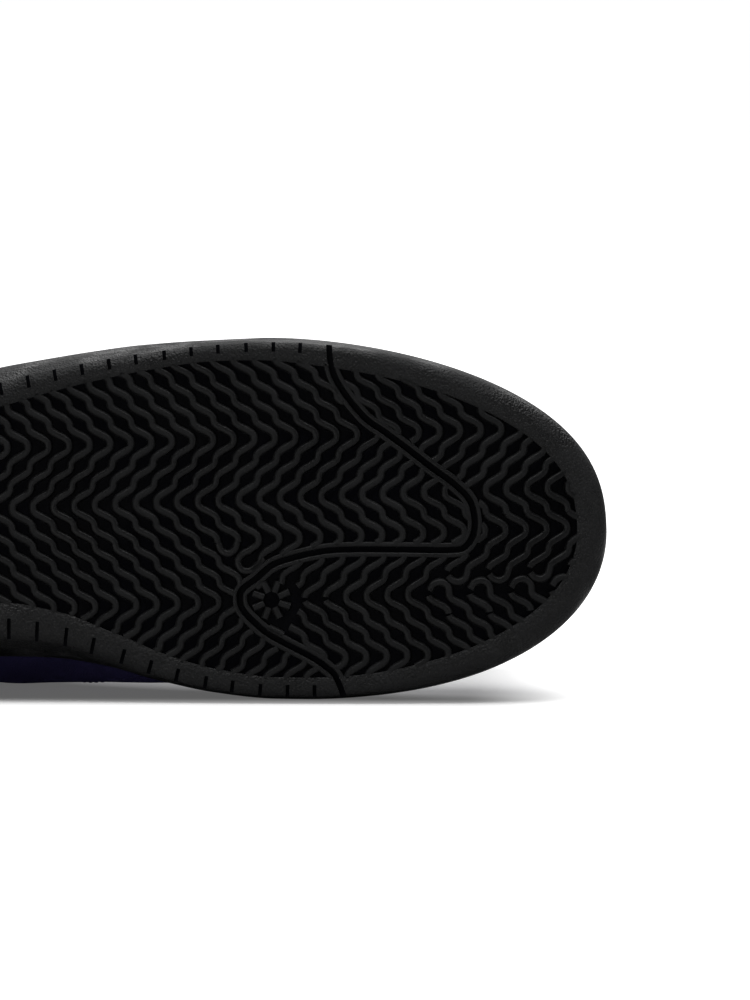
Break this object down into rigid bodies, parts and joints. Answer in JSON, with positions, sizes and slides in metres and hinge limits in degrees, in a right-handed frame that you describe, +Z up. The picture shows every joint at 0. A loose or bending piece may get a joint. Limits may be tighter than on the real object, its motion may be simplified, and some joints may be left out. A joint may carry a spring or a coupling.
{
  "type": "skateboarding shoe",
  "caption": "Low laced skateboarding shoe for the right foot, suede upper on a black rubber cup sole with herringbone tread, lying on its medial side.",
  "frame": {"origin": "centre of the bounding box's underside, on the floor that the shoe lies on", "axes": "+X from heel to toe along the sole, -Y the side that the tread faces, +Z up, towards the shoe's lateral side"},
  "size_m": [0.2988, 0.1304, 0.1087],
  "materials": {
    "tread_rubber": "matte black",
    "sidewall_rubber": "satin black",
    "suede": "deep indigo suede",
    "lining": "black knit lining",
    "tongue_cloth": "padded cloth",
    "lace": "flat woven lace",
    "thread": "stitching thread"
  },
  "bodies": {
    "root": {"outsole": "tread_rubber", "midsole": "sidewall_rubber", "insole": "lining", "upper": "suede", "tongue": "tongue_cloth", "laces": "lace"}
  },
  "joints": []
}
